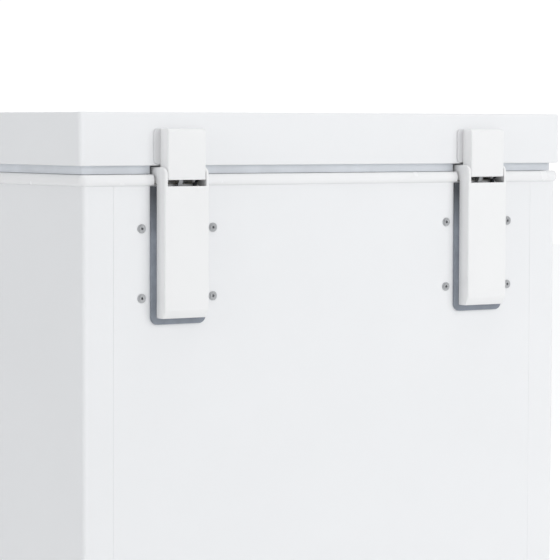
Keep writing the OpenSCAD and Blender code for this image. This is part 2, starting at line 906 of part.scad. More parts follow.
// Grip that the fingers pull from below, with the lock housing hanging at its middle
module lid_handle() color("white") {
  difference() {
    union() {
      difference() {
        side_plate(-handle_w / 2, handle_w / 2)
          polygon([[lid_fy, handle_z0], [lid_fy, handle_z1 + 6], [lid_fy - 5, handle_z1 + 6],
            [lid_fy - handle_d, handle_z1 - 8], [lid_fy - handle_d, handle_z0]]);
        side_plate(-handle_w / 2 + 4, handle_w / 2 - 4)
          polygon([[lid_fy - 2.5, handle_z0 - 1], [lid_fy - 2.5, handle_z1 - 7],
            [lid_fy - handle_d + grip_t + 3, handle_z1 - 7], [lid_fy - handle_d + grip_t, handle_z1 - 12],
            [lid_fy - handle_d + grip_t, handle_z0 - 1]]);
      }
      slab([-17, lid_fy - handle_d + 2, lock_z - 14], [17, lid_fy - 5, handle_z1 - 6]);
    }
    rod_y(0, lid_fy - handle_d - 1, lid_fy, lock_z + 0.5, 8.05);
    slab([-13, lid_fy - 8.5, lock_z - 12], [13, lid_fy, lock_z + 11]);
    for (p = handle_points)
      rod_y(p[0], lid_fy - 20, lid_fy + 1, p[1], 2.1);
    for (p = handle_points)
      rod_y(p[0], lid_fy - 30, lid_fy - 4, p[1], 4.2);
  }
}

module handle_screws() color("silver") {
  for (p = handle_points) {
    rod_y(p[0], lid_fy - 4, lid_fy + 12, p[1], 2);
    rod_y(p[0], lid_fy - 6, lid_fy - 4, p[1], 4);
  }
}

// Key barrel with its keyway in front and its tongue behind
module lock_barrel() color("silver") {
  difference() {
    rod_y(0, lid_fy - handle_d + 1, lid_fy - 7, lock_z + 0.5, 8);
    slab([-0.8, lid_fy - handle_d, lock_z - 3.5], [0.8, lid_fy - handle_d + 8, lock_z + 4.5]);
  }
  slab([-4, lid_fy - 7.5, lock_z - 3.5], [11, lid_fy - 5.5, lock_z + 4.5]);
}

// ---------- lid half of each hinge ----------

leaf_back = lid_rear;
leaf_z0 = lid_z + 1.5;
leaf_z1 = total_h - 17;
leaf_w = 60;
leaf_t = 2;
leaf_points = [for (sx = [-1, 1]) for (z = [806, 824]) [sx * 10, z]];

module hinge_leaf() {
  difference() {
    union() {
      translate([0, leaf_back + leaf_t, (leaf_z0 + leaf_z1) / 2])
        rotate([90, 0, 0])
          linear_extrude(leaf_t)
            rrect(leaf_w, leaf_z1 - leaf_z0, 4);
      for (s = [-1, 1])
        translate([s * (arm_x + 1.2), 0, 0])
          side_plate(-1.2, 1.2) {
            polygon([[leaf_back + 1, 800], [leaf_back + 1, 826], [7, 826], [14, 790], [pivot_y, pivot_z],
              [pivot_y - 4.9, pivot_z]]);
            translate([pivot_y, pivot_z])
              circle(r = 5);
            translate([lever_y, lever_z])
              circle(r = 3.2);
          }
    }
    rod_x(-30, 30, pivot_y, pivot_z, 2.06);
    rod_x(-30, 30, lever_y, lever_z, 1.55);
    for (p = leaf_points)
      rod_y(p[0], 0, 6, p[1], 2.1);
  }
}

module hinge_leaf_left() color("gainsboro") {
  at_hinge(-1)
    hinge_leaf();
}

module hinge_leaf_right() color("gainsboro") {
  at_hinge(1)
    hinge_leaf();
}

up_z0 = pivot_z - 4.7;
up_z1 = total_h - 17;

// Hollow cover with an open underside, so that it swings over the fixed cheeks
module upper_cover() {
  hw = lid_cover_w / 2;
  back = leaf_back + leaf_t + 0.2;
  difference() {
    side_plate(-hw, hw) {
      polygon([[back, up_z0], [hinge_t, up_z0], [hinge_t, up_z1 - 4], [hinge_t - 4, up_z1], [back, up_z1]]);
      translate([hinge_t - 4, up_z1 - 4])
        circle(r = 4);
    }
    side_plate(-hw + cover_t, hw - cover_t)
      polygon([[0, up_z0 - 1], [hinge_t - cover_t, up_z0 - 1], [hinge_t - cover_t, up_z1 - 5],
        [hinge_t - 5, up_z1 - cover_t], [0, up_z1 - cover_t]]);
  }
}

module upper_cover_left() color("white") {
  at_hinge(-1)
    upper_cover();
}

module upper_cover_right() color("white") {
  at_hinge(1)
    upper_cover();
}

module lid_plates() color("silver") {
  both_hinges()
    difference() {
      slab([-26, lid_rear - sheet - 2, 798], [26, lid_rear - sheet, 834]);
      for (p = leaf_points)
        rod_y(p[0], -5, 5, p[1], 2.1);
    }
}

module leaf_screws() color("silver") {
  both_hinges()
    for (p = leaf_points) {
      rod_y(p[0], leaf_back + leaf_t, leaf_back + leaf_t + 1.8, p[1], 3.4);
      rod_y(p[0], -10, leaf_back + leaf_t, p[1], 2);
    }
}

module lever_pins() color("lightgray") {
  both_hinges()
    rod_x(-arm_x - 2.6, arm_x + 2.6, lever_y, lever_z, 1.5);
}

// ---------- basket ----------

wire = 1.6;
rim_wire = 3;
rim_d = tub_d + 10;
bk_d = tub_d - 17;
bk_x1 = tub_w / 2 - 6;
bk_x0 = bk_x1 - basket_w;
bk_xm = (bk_x0 + bk_x1) / 2;
rim_z = ledge_z + rim_wire + 0.3;
bk_z0 = rim_z - basket_h;
n_long = 8;
n_cross = 13;

module wire_x(x0, x1, y, z, r) {
  translate([x0, y, z])
    rotate([0, 90, 0])
      rotate([0, 0, 22.5])
        cylinder(r = r, h = x1 - x0, $fn = 8);
}

module wire_y(x, y0, y1, z, r) {
  translate([x, y0, z])
    rotate([-90, 0, 0])
      rotate([0, 0, 22.5])
        cylinder(r = r, h = y1 - y0, $fn = 8);
}

module wire_z(x, y, z0, z1, r) {
  translate([x, y, z0])
    rotate([0, 0, 22.5])
      cylinder(r = r, h = z1 - z0, $fn = 8);
}

module hoop(w, d, z, r) {
  for (s = [-1, 1]) {
    wire_x(bk_xm - w / 2 - r * 0.7, bk_xm + w / 2 + r * 0.7, mid_y + s * d / 2, z, r);
    wire_y(bk_xm + s * w / 2, mid_y - d / 2, mid_y + d / 2, z, r * 0.85);
  }
}

// Coated wire basket whose rim rides on the ledges of the tub
module basket() color("white") {
  hoop(basket_w - 2 * rim_wire, rim_d - 2 * rim_wire, rim_z, rim_wire);
  hoop(basket_w - 8, bk_d, bk_z0 + 60, wire);
  hoop(basket_w - 8, bk_d, bk_z0 + 120, wire);
  hoop(basket_w - 8, bk_d, rim_z - 4, wire);
  for (i = [0 : n_long - 1]) {
    x = bk_x0 + 18 + i * (basket_w - 36) / (n_long - 1);
    wire_y(x, mid_y - bk_d / 2 + 2.6, mid_y + bk_d / 2 - 2.6, bk_z0, wire);
    for (s = [-1, 1]) {
      wire_z(x, mid_y + s * (bk_d / 2 - 2.6), bk_z0 - 1.4, rim_z, wire);
      wire_y(x, mid_y + s * (bk_d / 2 + 1) - 5, mid_y + s * (bk_d / 2 + 1) + 5, rim_z, wire);
    }
  }
  for (i = [0 : n_cross - 1]) {
    y = mid_y - bk_d / 2 + 20 + i * (bk_d - 40) / (n_cross - 1);
    wire_x(bk_x0 + 6.6, bk_x1 - 6.6, y, bk_z0 + 2.6, wire);
    for (s = [-1, 1])
      wire_z(bk_xm + s * (basket_w / 2 - 6.6), y, bk_z0 + 1.3, rim_z, wire);
  }
  for (s = [-1, 1])
    for (q = [-1, 1])
      wire_x(bk_xm + s * (basket_w / 2 - 5) - 3, bk_xm + s * (basket_w / 2 - 5) + 3,
        mid_y + q * (bk_d / 2 - 20), rim_z, wire);
}

front_panel();
side_panel_left();
side_panel_right();
rear_panel();
base_pan();
foam_tub();
inner_liner();
rim_trim();
bay_panel();
compressor();
compressor_mount();
mount_grommets();
mount_bolts();
relay_cover();
filter_drier();
refrigerant_pipes();
evaporator_coil();
condenser_coil();
side_grille();
service_cover();
cover_screws();
cord_inlet();
control_panel();
thermostat();
thermostat_knob();
power_lamp();
run_lamp();
drain_pipe();
drain_plug();
drain_cap();
feet();
foot_screws();
hinge_base_left();
hinge_base_right();
lower_cover_left();
lower_cover_right();
backing_plates();
panel_rivets();
base_screws();
hinge_pins();
spring_rod_left();
spring_rod_right();
hinge_spring_left();
hinge_spring_right();
lid_pan();
lid_foam();
lid_liner();
lid_gasket();
lid_handle();
handle_screws();
hinge_leaf_left();
hinge_leaf_right();
upper_cover_left();
upper_cover_right();
lid_plates();
leaf_screws();
lever_pins();
lock_barrel();
basket();
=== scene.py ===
import math
import bmesh
import bpy
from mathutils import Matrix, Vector


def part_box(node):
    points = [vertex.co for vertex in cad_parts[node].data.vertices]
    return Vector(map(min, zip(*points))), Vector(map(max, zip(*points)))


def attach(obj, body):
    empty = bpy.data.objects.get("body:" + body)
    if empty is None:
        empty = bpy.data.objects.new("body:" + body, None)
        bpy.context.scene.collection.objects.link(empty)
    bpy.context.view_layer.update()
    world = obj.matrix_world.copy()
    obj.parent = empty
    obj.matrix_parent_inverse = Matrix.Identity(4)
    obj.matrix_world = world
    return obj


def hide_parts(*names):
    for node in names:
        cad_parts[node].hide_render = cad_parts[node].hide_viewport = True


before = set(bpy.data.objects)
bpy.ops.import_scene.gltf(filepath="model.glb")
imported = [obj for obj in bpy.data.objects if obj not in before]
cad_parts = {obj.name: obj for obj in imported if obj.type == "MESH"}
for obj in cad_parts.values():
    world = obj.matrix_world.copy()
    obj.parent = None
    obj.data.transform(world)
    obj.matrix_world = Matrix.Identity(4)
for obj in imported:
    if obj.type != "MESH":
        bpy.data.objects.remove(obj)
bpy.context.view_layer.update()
MM = 0.001


# ---------- materials ----------

def new_material(name):
    m = bpy.data.materials.new(name)
    m.use_nodes = True
    t = m.node_tree
    return m, t.nodes, t.links, t.nodes["Principled BSDF"]


def noise(nodes, links, coord, scale, detail=3.0, rough=0.5, stretch=None):
    n = nodes.new("ShaderNodeTexNoise")
    n.inputs["Scale"].default_value = scale
    n.inputs["Detail"].default_value = detail
    n.inputs["Roughness"].default_value = rough
    source = coord.outputs["Object"]
    if stretch:
        mp = nodes.new("ShaderNodeMapping")
        mp.inputs["Scale"].default_value = stretch
        links.new(source, mp.inputs["Vector"])
        source = mp.outputs["Vector"]
    links.new(source, n.inputs["Vector"])
    return n.outputs["Fac"]


def ranged(nodes, links, value, lo, hi, src=(0.3, 0.7)):
    r = nodes.new("ShaderNodeMapRange")
    r.inputs["From Min"].default_value = src[0]
    r.inputs["From Max"].default_value = src[1]
    r.inputs["To Min"].default_value = lo
    r.inputs["To Max"].default_value = hi
    links.new(value, r.inputs["Value"])
    return r.outputs["Result"]


def blend_color(nodes, links, factor, a, b):
    m = nodes.new("ShaderNodeMix")
    m.data_type = "RGBA"
    m.inputs["A"].default_value = (*a, 1)
    m.inputs["B"].default_value = (*b, 1)
    links.new(factor, m.inputs["Factor"])
    return m.outputs["Result"]


def two_tone(nodes, links, bsdf, value, dark, color):
    """Base colour that drifts between two tones with a value."""
    drift = ranged(nodes, links, value, 0, 1)
    links.new(blend_color(nodes, links, drift, dark, color), bsdf.inputs["Base Color"])


def bump(nodes, links, bsdf, height, depth, strength=1.0, below=None):
    b = nodes.new("ShaderNodeBump")
    b.inputs["Strength"].default_value = strength
    b.inputs["Distance"].default_value = depth
    links.new(height, b.inputs["Height"])
    if below is not None:
        links.new(below, b.inputs["Normal"])
    links.new(b.outputs["Normal"], bsdf.inputs["Normal"])
    return b.outputs["Normal"]


def surface(name, color, rough, spread=0.03, metal=0.0, grain=900.0, grain_depth=0.00003, wave=None,
            tint=0.94, coat=0.0, stretch=None, ior=1.5):
    """A finish with drifting tone, uneven gloss, fine grain and, where asked, a slow waviness."""
    m, nodes, links, bsdf = new_material(name)
    coord = nodes.new("ShaderNodeTexCoord")
    slow = noise(nodes, links, coord, 7.0, 4.0)
    dark = tuple(c * tint for c in color)
    two_tone(nodes, links, bsdf, slow, dark, color)
    mid = noise(nodes, links, coord, 60.0, 5.0, stretch=stretch)
    links.new(ranged(nodes, links, mid, max(rough - spread, 0.02), rough + spread), bsdf.inputs["Roughness"])
    bsdf.inputs["Metallic"].default_value = metal
    bsdf.inputs["Coat Weight"].default_value = coat
    bsdf.inputs["Coat Roughness"].default_value = 0.12
    bsdf.inputs["IOR"].default_value = ior
    below = None
    if wave:
        below = bump(nodes, links, bsdf, noise(nodes, links, coord, wave[0], 2.0), wave[1])
    fine = noise(nodes, links, coord, grain, 2.0, stretch=stretch)
    bump(nodes, links, bsdf, fine, grain_depth, below=below)
    return m


def stucco(name, color):
    """Embossed sheet: small flat-topped pebbles pressed into bright painted metal, with painted shade in the
    hollows between them.
    """
    m, nodes, links, bsdf = new_material(name)
    coord = nodes.new("ShaderNodeTexCoord")
    v = nodes.new("ShaderNodeTexVoronoi")
    v.feature = "SMOOTH_F1"
    v.inputs["Scale"].default_value = 170.0
    v.inputs["Smoothness"].default_value = 0.6
    links.new(coord.outputs["Object"], v.inputs["Vector"])
    h = ranged(nodes, links, v.outputs["Distance"], 1, 0, (0.15, 0.7))
    # Painted shade: the colour darkens where the pebbles dip, in the hollows between them
    links.new(blend_color(nodes, links, h, tuple(c * 0.9 for c in color), color), bsdf.inputs["Base Color"])
    links.new(ranged(nodes, links, noise(nodes, links, coord, 40.0), 0.28, 0.42), bsdf.inputs["Roughness"])
    bsdf.inputs["Metallic"].default_value = 0.25
    bump(nodes, links, bsdf, h, 0.0004)
    return m


def soft_rubber(name, color):
    """Dull rubber with a drifting tone and a very fine grain."""
    m, nodes, links, bsdf = new_material(name)
    coord = nodes.new("ShaderNodeTexCoord")
    slow = noise(nodes, links, coord, 25.0, 4.0)
    dark = tuple(c * 0.88 for c in color)
    two_tone(nodes, links, bsdf, slow, dark, color)
    links.new(ranged(nodes, links, slow, 0.48, 0.62), bsdf.inputs["Roughness"])
    bump(nodes, links, bsdf, noise(nodes, links, coord, 1400.0), 0.00004)
    return m


def foam_look(name, color):
    """Cut foam with fine cells, painted shade in their low parts, and almost no gloss."""
    m, nodes, links, bsdf = new_material(name)
    coord = nodes.new("ShaderNodeTexCoord")
    cells = noise(nodes, links, coord, 420.0, 6.0, 0.7)
    dark = tuple(c * 0.8 for c in color)
    # Painted shade: the colour darkens where the cells dip, following the bump
    two_tone(nodes, links, bsdf, cells, dark, color)
    links.new(ranged(nodes, links, cells, 0.8, 0.95), bsdf.inputs["Roughness"])
    bump(nodes, links, bsdf, cells, 0.0006)
    return m


# Heights in metres between which the hinge plates grow dark with painted shade under the trim
PAINTED_SHADE_SPAN = (0.72, 0.765)


def coated_plate(name, color, painted_shade_color):
    """Coated plate with painted shade that grows towards its upper end, under the trim."""
    m, nodes, links, bsdf = new_material(name)
    coord = nodes.new("ShaderNodeTexCoord")
    axes = nodes.new("ShaderNodeSeparateXYZ")
    links.new(coord.outputs["Object"], axes.inputs["Vector"])
    height = ranged(nodes, links, axes.outputs["Z"], 0, 1, PAINTED_SHADE_SPAN)
    speck = noise(nodes, links, coord, 90.0, 4.0)
    dull = tuple(c * 0.82 for c in color)
    base = blend_color(nodes, links, ranged(nodes, links, speck, 0, 1), dull, color)
    # Painted shade: the colour turns dark towards the top of the plate, under the trim
    shade = nodes.new("ShaderNodeMix")
    shade.data_type = "RGBA"
    shade.inputs["B"].default_value = (*painted_shade_color, 1)
    links.new(base, shade.inputs["A"])
    links.new(height, shade.inputs["Factor"])
    links.new(shade.outputs["Result"], bsdf.inputs["Base Color"])
    links.new(ranged(nodes, links, speck, 0.32, 0.5), bsdf.inputs["Roughness"])
    bsdf.inputs["Metallic"].default_value = 0.3
    bump(nodes, links, bsdf, noise(nodes, links, coord, 800.0), 0.00004)
    return m


def lens(name, color):
    """Clear coloured plastic over a lamp."""
    m, nodes, links, bsdf = new_material(name)
    coord = nodes.new("ShaderNodeTexCoord")
    deep = tuple(c * 0.6 for c in color)
    two_tone(nodes, links, bsdf, noise(nodes, links, coord, 300.0), deep, color)
    links.new(ranged(nodes, links, noise(nodes, links, coord, 500.0), 0.06, 0.14), bsdf.inputs["Roughness"])
    bsdf.inputs["Coat Weight"].default_value = 0.6
    bump(nodes, links, bsdf, noise(nodes, links, coord, 900.0), 0.00003)
    return m


WHITE = (0.86, 0.865, 0.875)
looks = {
    "steel": surface("white_coated_steel", WHITE, 0.33, 0.05, grain=380.0, grain_depth=0.00005,
                     wave=(5.0, 0.0006), tint=0.985, coat=0.15),
    "plastic": surface("white_moulded_plastic", (0.88, 0.88, 0.88), 0.42, 0.05, grain=1500.0,
                       grain_depth=0.00006, tint=0.98),
    "trim": surface("white_extruded_trim", (0.88, 0.88, 0.885), 0.24, 0.04, grain=260.0, grain_depth=0.00004,
                    tint=0.98, coat=0.2),
    "leaf": surface("light_grey_coated_steel", (0.76, 0.76, 0.77), 0.4, 0.05, tint=0.96),
    # The hinge plates carry painted shade towards their top, under the trim
    "hinge": coated_plate("blue_grey_coated_steel", (0.29, 0.318, 0.365), (0.08, 0.088, 0.1)),
    "zinc": surface("zinc_plated_steel", (0.60, 0.61, 0.62), 0.32, 0.1, metal=1.0, tint=0.86,
                    grain_depth=0.00004),
    "rivet": surface("aluminium_rivet", (0.62, 0.63, 0.64), 0.35, 0.08, metal=0.9, tint=0.88),
    "spring": surface("oiled_spring_wire", (0.42, 0.42, 0.43), 0.28, 0.1, metal=1.0, tint=0.8),
    "chrome": surface("polished_steel", (0.80, 0.80, 0.81), 0.12, 0.05, metal=1.0, tint=0.95),
    "copper": surface("drawn_copper", (0.78, 0.40, 0.26), 0.28, 0.1, metal=1.0, tint=0.78),
    "alu": surface("drawn_aluminium", (0.72, 0.73, 0.74), 0.36, 0.08, metal=1.0, tint=0.88),
    "black_steel": surface("black_enamel", (0.022, 0.022, 0.024), 0.3, 0.08, wave=(30.0, 0.0004), tint=0.7),
    "black_plastic": surface("black_moulded_plastic", (0.03, 0.03, 0.032), 0.5, 0.06, grain=1500.0, tint=0.8),
    "grey_plastic": surface("grey_moulded_plastic", (0.55, 0.56, 0.57), 0.45, 0.05, grain=1500.0,
                            grain_depth=0.00006, tint=0.96),
    "wire": surface("white_coated_wire", (0.84, 0.84, 0.84), 0.3, 0.05, grain=500.0, tint=0.95, coat=0.2),
    "liner": stucco("embossed_liner", (0.80, 0.81, 0.82)),
    "lid_inner": surface("white_formed_liner", (0.83, 0.84, 0.85), 0.4, 0.05, grain=700.0, tint=0.97),
    "gasket": soft_rubber("grey_gasket", (0.74, 0.77, 0.81)),
    "rubber": soft_rubber("black_rubber", (0.03, 0.03, 0.03)),
    "foam": foam_look("insulation_foam", (0.72, 0.62, 0.38)),
    "green": lens("green_lens", (0.08, 0.55, 0.16)),
    "red": lens("red_lens", (0.62, 0.05, 0.03)),
}

dress = {
    "front_panel": "steel", "side_panel_left": "steel", "side_panel_right": "steel", "rear_panel": "steel",
    "base_pan": "zinc", "foam_tub": "foam", "inner_liner": "liner", "rim_trim": "trim", "bay_panel": "zinc",
    "compressor": "black_steel", "compressor_mount": "black_steel", "mount_grommets": "rubber",
    "mount_bolts": "zinc", "relay_cover": "black_plastic", "filter_drier": "copper",
    "refrigerant_pipes": "copper", "evaporator_coil": "alu", "condenser_coil": "copper",
    "side_grille": "grey_plastic", "service_cover": "grey_plastic", "cover_screws": "zinc",
    "cord_inlet": "rubber", "control_panel": "plastic", "thermostat": "black_plastic",
    "thermostat_knob": "grey_plastic", "power_lamp": "green", "run_lamp": "red", "drain_pipe": "plastic",
    "drain_plug": "grey_plastic", "drain_cap": "plastic", "feet": "rubber", "foot_screws": "zinc",
    "hinge_base_left": "hinge", "hinge_base_right": "hinge", "lower_cover_left": "plastic",
    "lower_cover_right": "plastic", "backing_plates": "zinc", "panel_rivets": "rivet", "base_screws": "zinc",
    "hinge_pins": "chrome", "spring_rod_left": "zinc", "spring_rod_right": "zinc",
    "hinge_spring_left": "spring", "hinge_spring_right": "spring", "lid_pan": "steel", "lid_foam": "foam",
    "lid_liner": "lid_inner", "lid_gasket": "gasket", "lid_handle": "plastic", "handle_screws": "zinc",
    "hinge_leaf_left": "leaf", "hinge_leaf_right": "leaf", "upper_cover_left": "plastic",
    "upper_cover_right": "plastic", "lid_plates": "zinc", "leaf_screws": "zinc", "lever_pins": "chrome",
    "lock_barrel": "chrome", "basket": "wire",
}

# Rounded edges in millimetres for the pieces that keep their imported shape
rounding = {
    "lid_handle": 1.2, "thermostat_knob": 0.5, "control_panel": 0.8, "drain_cap": 0.8, "drain_plug": 0.6,
    "side_grille": 0.5, "service_cover": 0.5, "relay_cover": 1.5, "thermostat": 1.0, "hinge_base_left": 0.4,
    "hinge_base_right": 0.4, "hinge_leaf_left": 0.3, "hinge_leaf_right": 0.3, "compressor_mount": 0.6,
    "lid_liner": 0.6, "feet": 0.8, "lock_barrel": 0.3, "cord_inlet": 0.6,
}

WELD_GAP = 0.00001
BEVEL_STEPS = 3
BEVEL_ANGLE = math.radians(40)

for node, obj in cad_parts.items():
    obj.data.materials.clear()
    obj.data.materials.append(looks[dress[node]])
    if node in rounding:
        weld = obj.modifiers.new("weld", "WELD")
        weld.merge_threshold = WELD_GAP
        edge = obj.modifiers.new("edge", "BEVEL")
        edge.width = rounding[node] * MM
        edge.segments = BEVEL_STEPS
        edge.limit_method = "ANGLE"
        edge.angle_limit = BEVEL_ANGLE
        edge.harden_normals = False


# ---------- mesh tools ----------

def rounded_loop(w, d, r, cy, z, steps=8):
    """Points of a rectangle with round corners, always the same number."""
    pts = []
    for q in range(4):
        sx = (1, -1, -1, 1)[q]
        sy = (1, 1, -1, -1)[q]
        for i in range(steps + 1):
            a = math.radians(90 * q + 90 * i / steps)
            pts.append((sx * (w / 2 - r) + r * math.cos(a), cy + sy * (d / 2 - r) + r * math.sin(a), z))
    return pts


def loft(name, loops, look, body, caps=False, ring=False):
    """A skin through loops of equal length, given in millimetres."""
    bm = bmesh.new()
    rows = [[bm.verts.new((x * MM, y * MM, z * MM)) for x, y, z in loop] for loop in loops]
    n = len(rows[0])
    pairs = list(zip(rows, rows[1:])) + ([(rows[-1], rows[0])] if ring else [])
    for a, b in pairs:
        for i in range(n):
            j = (i + 1) % n
            bm.faces.new((a[i], a[j], b[j], b[i]))
    if caps:
        bm.faces.new(rows[0][::-1])
        bm.faces.new(rows[-1])
    bmesh.ops.recalc_face_normals(bm, faces=bm.faces)
    mesh = bpy.data.meshes.new(name)
    bm.to_mesh(mesh)
    bm.free()
    return piece(name, mesh, look, body)


def piece(name, mesh, look, body):
    """Puts a made mesh into the scene, in one look, moving with one body."""
    obj = bpy.data.objects.new(name, mesh)
    bpy.context.scene.collection.objects.link(obj)
    mesh.materials.append(looks[look])
    smooth(mesh)
    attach(obj, body)
    return obj


def smooth(mesh, angle=35):
    mesh.shade_smooth()
    mesh.set_sharp_from_angle(angle=math.radians(angle))


def bake_modifiers(obj):
    """Turns the modifiers of a made piece into plain mesh."""
    deps = bpy.context.evaluated_depsgraph_get()
    mesh = bpy.data.meshes.new_from_object(obj.evaluated_get(deps))
    obj.modifiers.clear()
    obj.data = mesh
    smooth(mesh)


def cut(obj, boxes):
    """Cuts boxes, given as two corners in millimetres, out of a made piece."""
    for lo, hi in boxes:
        bm = bmesh.new()
        bmesh.ops.create_cube(bm, size=1)
        for v in bm.verts:
            v.co = Vector(((lo[k] + hi[k]) / 2 + v.co[k] * (hi[k] - lo[k])) * MM for k in range(3))
        mesh = bpy.data.meshes.new("cutter")
        bm.to_mesh(mesh)
        bm.free()
        tool = bpy.data.objects.new("cutter", mesh)
        bpy.context.scene.collection.objects.link(tool)
        m = obj.modifiers.new("cut", "BOOLEAN")
        m.object = tool
        m.operation = "DIFFERENCE"
        m.solver = "EXACT"
        bake_modifiers(obj)
        bpy.data.objects.remove(tool)


# ---------- sizes read from the frame ----------

def box_mm(node):
    """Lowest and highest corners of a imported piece, in millimetres."""
    lo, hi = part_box(node)
    return [c / MM for c in lo], [c / MM for c in hi]


lid_lo, lid_hi = box_mm("lid_pan")
front_lo, front_hi = box_mm("front_panel")
trim_lo, trim_hi = box_mm("rim_trim")
rear_y = box_mm("rear_panel")[1][1]
front_y = front_lo[1]
body_w = front_hi[0] - front_lo[0]
body_d = rear_y - front_y
mid_y = (rear_y + front_y) / 2
low_lo, low_hi = box_mm("lower_cover_right")
hinge_x = (low_lo[0] + low_hi[0]) / 2

# ---------- lid skin ----------

lid_w = lid_hi[0] - lid_lo[0]
lid_d = lid_hi[1] - lid_lo[1]
lid_cy = (lid_hi[1] + lid_lo[1]) / 2
# Radii of the upright corners and of the top and bottom edges, and the least radius a ring may have
EDGE = 4.0
TOP_R = 2.2
LOW_R = 1.2
LEAST_R = 0.6
# The sheet, its turned-in flange, the bend between them, and rings that keep the top flat
SHEET = 0.8
FLANGE = 14.0
BEND_IN = 0.6
TOP_INSET = 60.0
TOP_GUARD = 2.0


def lid_loop(inset, z):
    return rounded_loop(lid_w - 2 * inset, lid_d - 2 * inset, max(EDGE - inset, LEAST_R), lid_cy, z)


arc = [math.radians(a) for a in range(0, 91, 15)]
lid_rings = [lid_loop(TOP_INSET, lid_hi[2]), lid_loop(TOP_R + TOP_GUARD, lid_hi[2])]
lid_rings += [lid_loop(TOP_R * (1 - math.sin(a)), lid_hi[2] - TOP_R * (1 - math.cos(a))) for a in arc]
lid_rings += [lid_loop(LOW_R * (1 - math.cos(a)), lid_lo[2] + LOW_R * (1 - math.sin(a))) for a in arc]
lid_rings += [lid_loop(FLANGE, lid_lo[2]), lid_loop(FLANGE, lid_lo[2] + SHEET),
              lid_loop(SHEET + BEND_IN, lid_lo[2] + SHEET), lid_loop(SHEET, lid_lo[2] + 2 * SHEET),
              lid_loop(SHEET, lid_hi[2] - TOP_R - 1), lid_loop(TOP_R + 1, lid_hi[2] - SHEET)]
lid_skin = loft("lid_skin", lid_rings, "steel", "lid", caps=True)
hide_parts("lid_pan")

# ---------- rim trim ----------

# Rounded outer edge, thickness, and the small rounding at the tub's mouth
NOSE = 4.0
TRIM_T = 2.0
LIP = 1.5
LIP_MID = 0.4
HAIR = 0.05
# From the cabinet's outside to the mouth, at the sides and at the ends, and the corner radii
RIM_SIDES = 57.0
RIM_ENDS = 47.0
MOUTH_R = 20.0
BODY_R = 4.0
LEAST_OUTER_R = 2.0
# The trim is cut away at each hinge
NOTCH_HALF = 30.0
NOTCH_DEPTH = 17.0
NOTCH_PAST = 12.0
NOTCH_CLEAR = 5.0
trim_mid = (trim_lo[2] + trim_hi[2]) / 2
trim_half = (trim_hi[2] - trim_lo[2]) / 2
trim_out = (trim_hi[0] - trim_lo[0] - body_w) / 2
open_w = body_w - 2 * RIM_SIDES
open_d = body_d - 2 * RIM_ENDS


def outer_loop(out, z):
    return rounded_loop(body_w + 2 * out, body_d + 2 * out, max(BODY_R + out, LEAST_OUTER_R), mid_y, z)


def inner_loop(out, z):
    return rounded_loop(open_w + 2 * out, open_d + 2 * out, MOUTH_R + out, mid_y, z)


nose = [math.radians(a) for a in range(90, -83, -11)]
trim_rings = [outer_loop(trim_out - NOSE + NOSE * math.cos(a), trim_mid + trim_half * math.sin(a))
              for a in nose]
trim_rings += [outer_loop(HAIR, trim_lo[2] + TRIM_T), inner_loop(0, trim_lo[2] + TRIM_T),
               inner_loop(0, trim_hi[2] - LIP), inner_loop(LIP_MID, trim_hi[2] - LIP_MID),
               inner_loop(LIP, trim_hi[2])]
trim_skin = loft("rim_trim_skin", trim_rings, "trim", "cabinet", ring=True)
notches = [((s * hinge_x - NOTCH_HALF, rear_y - NOTCH_DEPTH, trim_lo[2] - NOTCH_CLEAR),
            (s * hinge_x + NOTCH_HALF, rear_y + NOTCH_PAST, trim_hi[2] + NOTCH_CLEAR)) for s in (-1, 1)]
cut(trim_skin, notches)
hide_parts("rim_trim")


# ---------- hinge covers ----------

# Edges sharper than this are rounded, in so many steps; points this near a plane lie on it
SHARP = math.radians(30)
ROUND_STEPS = 4
ON_PLANE = 0.01


def prism(outline, x0, x1, round_mm, flat_y):
    """A Y-Z outline given width along X, with every edge rounded except those on the plane flat_y."""
    bm = bmesh.new()
    ends = [[bm.verts.new((x * MM, y * MM, z * MM)) for y, z in outline] for x in (x0, x1)]
    n = len(outline)
    for i in range(n):
        j = (i + 1) % n
        bm.faces.new((ends[0][i], ends[0][j], ends[1][j], ends[1][i]))
    bm.faces.new(ends[0][::-1])
    bm.faces.new(ends[1])
    bmesh.ops.recalc_face_normals(bm, faces=bm.faces)
    edges = [e for e in bm.edges if e.calc_face_angle(0) > SHARP
             and not all(abs(v.co.y / MM - flat_y) < ON_PLANE for v in e.verts)]
    bmesh.ops.bevel(bm, geom=edges, offset=round_mm * MM, segments=ROUND_STEPS, profile=0.5, affect="EDGES",
                    clamp_overlap=True)
    mesh = bpy.data.meshes.new("cover")
    bm.to_mesh(mesh)
    bm.free()
    return mesh


def turn(cy, cz, r, a0, a1, steps=7):
    """Outline points along an arc, angles in degrees from +Y towards +Z."""
    angles = [math.radians(a0 + (a1 - a0) * i / steps) for i in range(steps + 1)]
    return [(cy + r * math.cos(a), cz + r * math.sin(a)) for a in angles]


WALL = 2.0
COVER_ROUND = 1.5
# Ears of the lower cover: thickness, outer radius and the corner taken off at the tip
EAR_T = 3.3
EAR_R = 8.0
EAR_CORNER = 3.0
# Slanted bottom of the lower cover
CHAMFER_Y = 5.0
CHAMFER_Z = 8.5
# The cover stands off the rear panel, and its ears step in over the top of the cabinet's shell
COVER_BACK = 2.7
EAR_STEP_Z = 776.5
# Top of the upper cover: outer radius and depth of the inner step
UPPER_R = 4.0
CROWN = 5.0
# Cutting boxes lap each other and run past the outside
LAP = 1.0
PAST = 2.0
face_y = low_hi[1]
slot_z = trim_lo[2]


